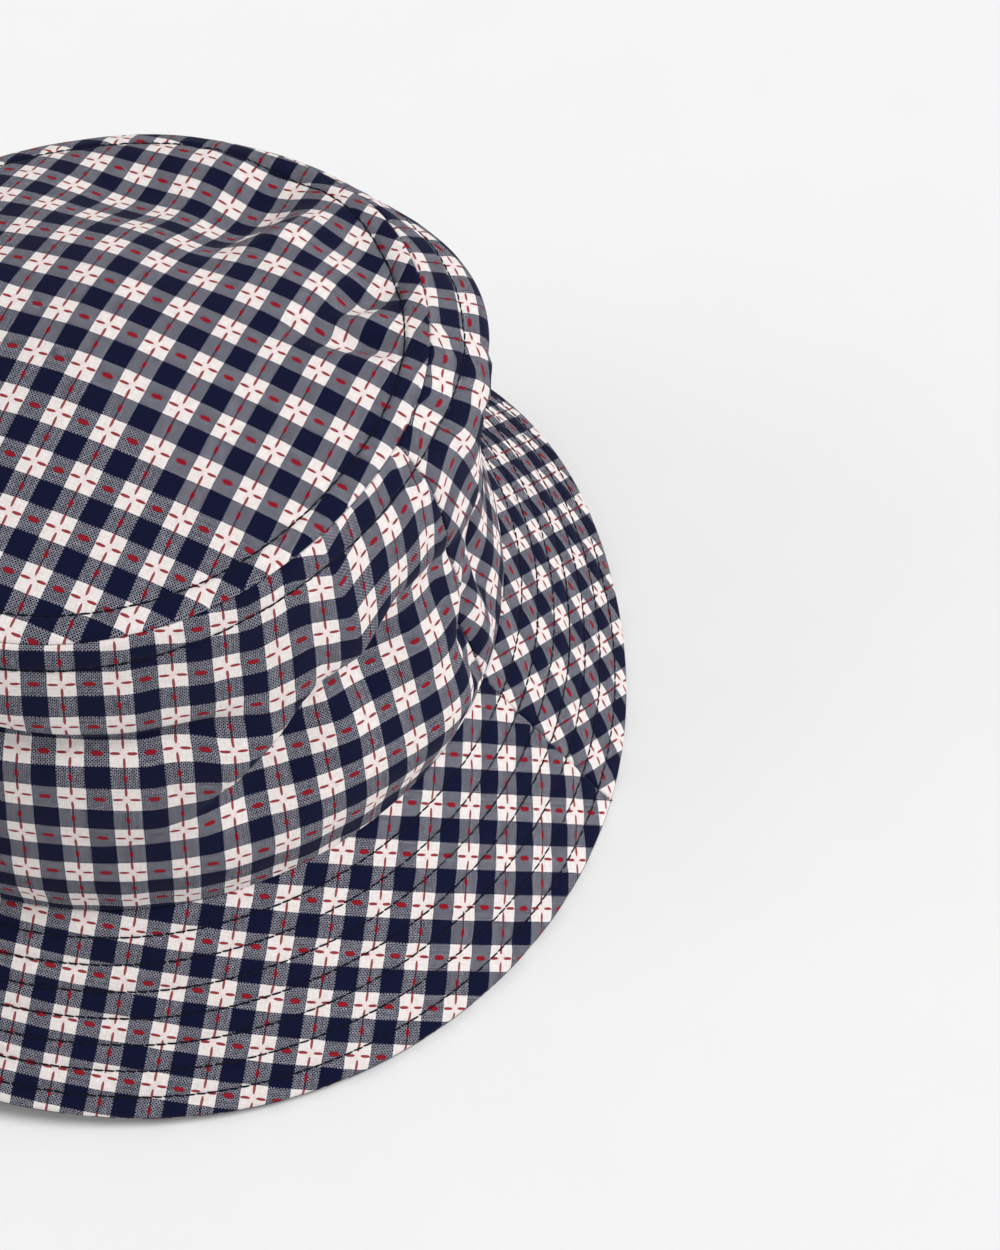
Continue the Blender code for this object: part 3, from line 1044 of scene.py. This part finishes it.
def make_sweatband():
    """Twill band round the head opening, with rounded edges."""
    count = 420
    angles = np.linspace(0.0, 2.0 * math.pi, count, endpoint=False)
    top = SWEATBAND_BOX[1][2] - SWEATBAND_BOX[0][2]
    heights = np.concatenate([[0.2, 0.6, 1.2], np.linspace(2.0, top - 1.6, 17),
                              [top - 0.9, top - 0.45, top - 0.15, top]])
    angle, height, points, normal = band_frame(angles, heights)
    puff = 0.12 * wander(angle, 81, (23, 37, 51)) * smooth(0.0, 6.0, height)
    edge = turned_edge(top - height, 0.35) + turned_edge(height, 0.35)
    depths = (SWEATBAND_DEPTH[0] - edge * 0.9, SWEATBAND_DEPTH[1] + puff * 0.5 + edge * 0.9)
    uv = layer_uv(angle, height)
    made = layer_sheet("sweatband_twill", points, normal, depths, uv, TWILL, closed=True)
    return bound(made, ["sweatband"])


def make_size_label():
    """Blank woven label sewn flat on the sweatband at the back."""
    low, high = frame_box("size_label")
    start = math.atan2(high[1] / JOIN_HALF[1], high[0] / JOIN_HALF[0])
    angles = np.linspace(start, math.pi - start, 40)
    heights = np.linspace(low[2] - JOIN_Z, high[2] - JOIN_Z, 22)
    angle, height, points, normal = band_frame(angles, heights)
    across = np.minimum(angle - start, math.pi - start - angle) * MEAN_JOIN
    edge = np.minimum(across, np.minimum(height - heights[0], heights[-1] - height))
    lift = 0.25 * smooth(0.0, 2.2, edge) + 0.05 * wander(angle * 6.0, 83, (5, 9))
    depths = (SIZE_LABEL_DEPTH[0], SIZE_LABEL_DEPTH[1] + lift)
    made = layer_sheet("size_label_satin", points, normal, depths, layer_uv(angle, height), SATIN)
    return bound(made, ["size_label"])


def make_care_label():
    """Satin ribbon folded in two and sewn in by its top edge; it hangs and swings.

    Its upper few millimetres pass through the sweatband's upper edge.
    """
    low, high = frame_box("care_label")
    middle = 0.5 * (low[0] + high[0])
    half = 0.5 * (high[0] - low[0])
    length = high[2] - low[2]
    down = np.linspace(0.0, length - half, 26)
    turn = np.linspace(-0.5 * math.pi, 0.5 * math.pi, 9)[1:-1]
    ply = 0.24
    centre = half - 0.5 * ply
    back_run = [(-centre, high[2] - d) for d in down]
    bend = [(centre * math.sin(t), high[2] - (length - half) - centre * math.cos(t)) for t in turn]
    front_run = [(centre, high[2] - d) for d in down[::-1]]
    line = np.array(back_run + bend + front_run)
    bow = 0.12 * np.sin((high[2] - line[:, 1]) / length * math.pi)
    tangent = np.gradient(line, axis=0)
    side = unit(np.stack([tangent[:, 1], -tangent[:, 0]], axis=-1))
    across = np.linspace(low[1], high[1], 15)
    layers = []
    for sign in (0.5, -0.5):
        x = middle + line[:, 0] + bow + sign * ply * side[:, 0]
        z = line[:, 1] + sign * ply * side[:, 1]
        grid = np.zeros((len(across), len(line), 3))
        grid[..., 0] = x[None]
        grid[..., 1] = across[:, None]
        grid[..., 2] = z[None]
        layers.append(grid)
    run = np.concatenate([[0.0], np.cumsum(np.linalg.norm(np.diff(line, axis=0), axis=1))])
    u, v = np.meshgrid(across, run, indexing="ij")
    made = sheet_mesh("care_label_satin", layers[0], layers[1], np.stack([u, v], axis=-1), False, SATIN)
    return bound(made, ["care_label"], "care_label")


# ---- stitching ----

def stitch_row(name, path, normal, node, under=None):
    """Row of separate stitches round a closed path; under is a second path on the far side."""
    rings, sides = 7, 6
    rng = np.random.default_rng(len(name) + int(abs(path[0, 0]) * 10))
    vertices, faces, uv = [], [], []
    for line, out in [(path, normal)] + ([] if under is None else [under]):
        loop = np.concatenate([line, line[:1]])
        outs = np.concatenate([out, out[:1]])
        run = np.concatenate([[0.0], np.cumsum(np.linalg.norm(np.diff(loop, axis=0), axis=1))])
        count = int(round(run[-1] / STITCH))
        size = run[-1] / count
        for index in range(count):
            start = index * size + 0.5 * STITCH_GAP
            places = start + np.linspace(0.0, 1.0, rings) * (size - STITCH_GAP)
            share = np.linspace(0.0, 1.0, rings)
            centre = np.stack([np.interp(places, run, loop[:, k]) for k in range(3)], axis=-1)
            up = unit(np.stack([np.interp(places, run, outs[:, k]) for k in range(3)], axis=-1))
            ahead = unit(np.gradient(centre, axis=0))
            across = unit(np.cross(ahead, up))
            arch = np.sin(math.pi * share) ** 0.5
            slant = (share - 0.5)[:, None] * across * rng.uniform(0.05, 0.22)
            centre = centre + up * (0.20 * arch - 0.04)[:, None] + slant
            radius = THREAD_RADIUS * (0.72 + 0.28 * arch) * rng.uniform(0.94, 1.06)
            base = len(vertices)
            for ring in range(rings):
                for s in range(sides):
                    a = 2.0 * math.pi * s / sides
                    spoke = math.cos(a) * across[ring] + math.sin(a) * up[ring]
                    vertices.append(centre[ring] + radius[ring] * spoke)
                    uv.append((places[ring], s / sides))
            for ring in range(rings - 1):
                for s in range(sides):
                    n = (s + 1) % sides
                    a, b = base + ring * sides, base + (ring + 1) * sides
                    faces.append([a + s, a + n, b + n, b + s])
            faces.append([base + s for s in range(sides)][::-1])
            faces.append([base + (rings - 1) * sides + s for s in range(sides)])
    made = new_mesh(name, np.array(vertices), faces, np.array(uv), THREAD, THREAD_SHARP)
    return bound(made, [node])


def ring_angles():
    return np.linspace(0.0, 2.0 * math.pi, 720, endpoint=False)


def make_stitches():
    angles = ring_angles()
    for row, from_edge in enumerate(brim_row_distances()):
        angle, slant, points, normal = brim_frame(angles, np.array([BRIM_SLANT - from_edge]))
        puff = brim_puff(angle, slant / BRIM_SLANT)
        top = offset(points, normal, -puff)[:, 0]
        puff = 0.8 * brim_puff(angle + 0.03, slant / BRIM_SLANT)
        below = offset(points, normal, UNDER_DEPTH[1] + puff)[:, 0]
        stitch_row(f"brim_stitches_{row + 1}", top, normal[:, 0], f"thread_brim_row_{row + 1}",
                   (below, -normal[:, 0]))
    angle, inset, points, normal = tip_frame(angles, np.array([TIP_ROW_INSET]))
    puff = crown_puff(inset, angle, 73, TIP_ROW_INSET)
    stitch_row("tip_stitches", offset(points, normal, -puff)[:, 0], normal[:, 0], "thread_tip_row")
    angle, height, points, normal = band_frame(angles, np.array([BAND_SLANT - BAND_ROW_DROP]))
    puff = crown_puff(BAND_SLANT - height, angle, 71, BAND_ROW_DROP)
    stitch_row("band_stitches", offset(points, normal, -puff)[:, 0], normal[:, 0], "thread_band_row")
    angle, height, points, normal = band_frame(angles, np.array([SWEATBAND_ROW_RISE]))
    stitch_row("sweatband_stitches", offset(points, normal, SWEATBAND_DEPTH[1])[:, 0],
               -normal[:, 0], "thread_sweatband_row")


# ---- flat sizes of the cloth ----


def strip(width, length):
    return width, length, width * length


def declare_sheets():
    """Length round half the join oval, which is not used."""
    arc = girth_from(0.0)(math.pi)


# ---- stage, light and camera ----

FLOOR_SIZE = 60.0
SKY_STRENGTH = 0.46

# Soft far lights: direction towards the light, spread in degrees, strength
KEY = ((3.0, 0.8, 3.67), 24.7, 2.26)
FILL = ((-3.3, -2.1, 2.52), 32.0, 0.32)

# Camera: its place in metres, tilt from straight down and turn in degrees, lens and sensor in mm.
# The place, tilt and turn were solved by a separate script.
CAMERA_PLACE = (0.2070, -0.3252, 0.5594)
CAMERA_TILT = 34.92
CAMERA_TURN = 18.81
LENS = 72.0
SENSOR = 36.0


def make_stage():
    bpy.ops.mesh.primitive_plane_add(size=FLOOR_SIZE, location=(0.0, 0.0, 0.0))
    floor = bpy.context.object
    floor.name = "stage_floor"
    shader = Shader("stage_floor", 0.9, specular=0.1)
    speck = shader.noise(30.0, 2.0)
    tone = shader.mix(speck, (0.86, 0.86, 0.86), (0.88, 0.88, 0.88))
    floor.data.materials.append(shader.finish(tone, speck, 0.0002, 0.1))


def make_sun(name, toward, spread, strength):
    """A far soft light, so that the floor is lit evenly all the way out."""
    data = bpy.data.lights.new(name, "SUN")
    data.angle = math.radians(spread)
    data.energy = strength
    light = bpy.data.objects.new(name, data)
    bpy.context.scene.collection.objects.link(light)
    light.rotation_euler = Vector(toward).to_track_quat("Z", "Y").to_euler()


def make_lights():
    world = bpy.data.worlds.new("studio")
    bpy.context.scene.world = world
    world.use_nodes = True
    world.node_tree.nodes["Background"].inputs[0].default_value = (1.0, 1.0, 1.0, 1.0)
    world.node_tree.nodes["Background"].inputs[1].default_value = SKY_STRENGTH
    make_sun("key", *KEY)
    make_sun("fill", *FILL)


def make_camera():
    data = bpy.data.cameras.new("camera")
    data.sensor_width = SENSOR
    data.lens = LENS
    camera = bpy.data.objects.new("camera", data)
    bpy.context.scene.collection.objects.link(camera)
    camera.location = CAMERA_PLACE
    camera.rotation_euler = (math.radians(CAMERA_TILT), 0.0, math.radians(CAMERA_TURN))
    bpy.context.scene.camera = camera


make_crown()
make_brim()
make_sweatband()
make_size_label()
make_care_label()
make_stitches()
declare_sheets()
make_stage()
make_lights()
make_camera()
bpy.context.scene.view_settings.view_transform = "Standard"
